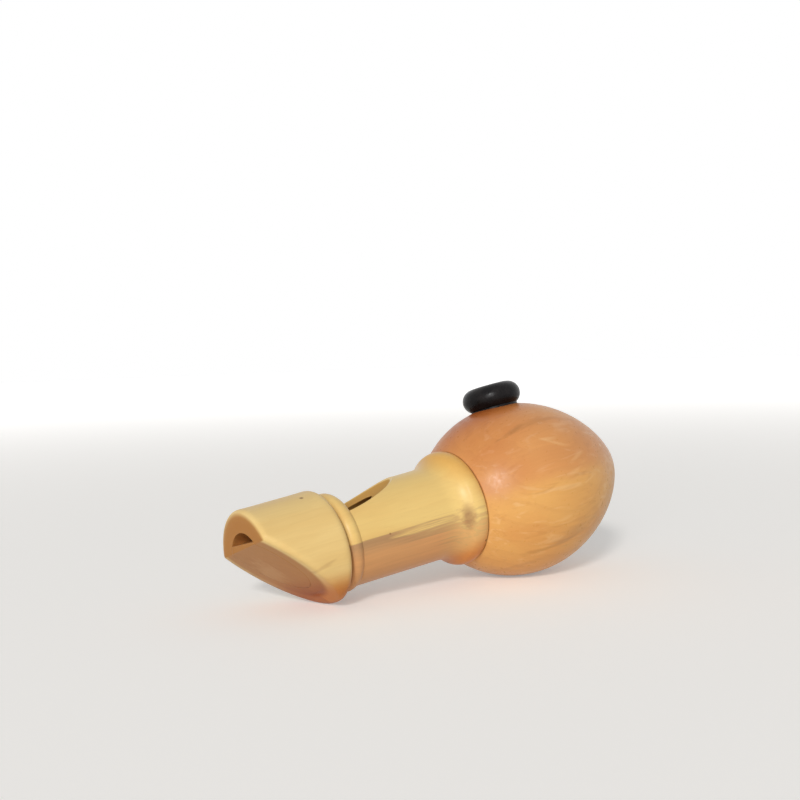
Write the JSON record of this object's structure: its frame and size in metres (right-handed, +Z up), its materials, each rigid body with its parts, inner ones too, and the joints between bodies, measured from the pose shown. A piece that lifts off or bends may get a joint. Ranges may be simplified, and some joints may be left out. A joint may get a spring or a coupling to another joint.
{
  "type": "cuckoo bird call",
  "caption": "Turned wooden cuckoo call: a beaked mouthpiece and a barrel with a scooped window, on a hollow egg-shaped globe whose finger hole has a black rubber ring.",
  "frame": {"origin": "middle of the call's outline on the floor that it lies on, at its globe and its heel", "axes": "+X along the call's length towards the globe's nose, +Z up, +Y to the side that the window leans to; the call's own axis rises 8.4 degrees towards +X, and the call is rolled 12.5 degrees about it, from window straight up towards +Y"},
  "size_m": [0.1142, 0.045, 0.0512],
  "materials": {
    "pale_boxwood": "turned and waxed",
    "two_tone_boxwood": "turned and waxed",
    "plug_boxwood": "sawn and sanded",
    "honey_boxwood": "turned and oiled",
    "black_rubber": "moulded, satin"
  },
  "bodies": {
    "root": {"mouthpiece": "pale_boxwood", "barrel": "two_tone_boxwood", "fipple_plug": "plug_boxwood", "resonator_globe": "honey_boxwood", "finger_hole_grommet": "black_rubber"}
  },
  "joints": []
}
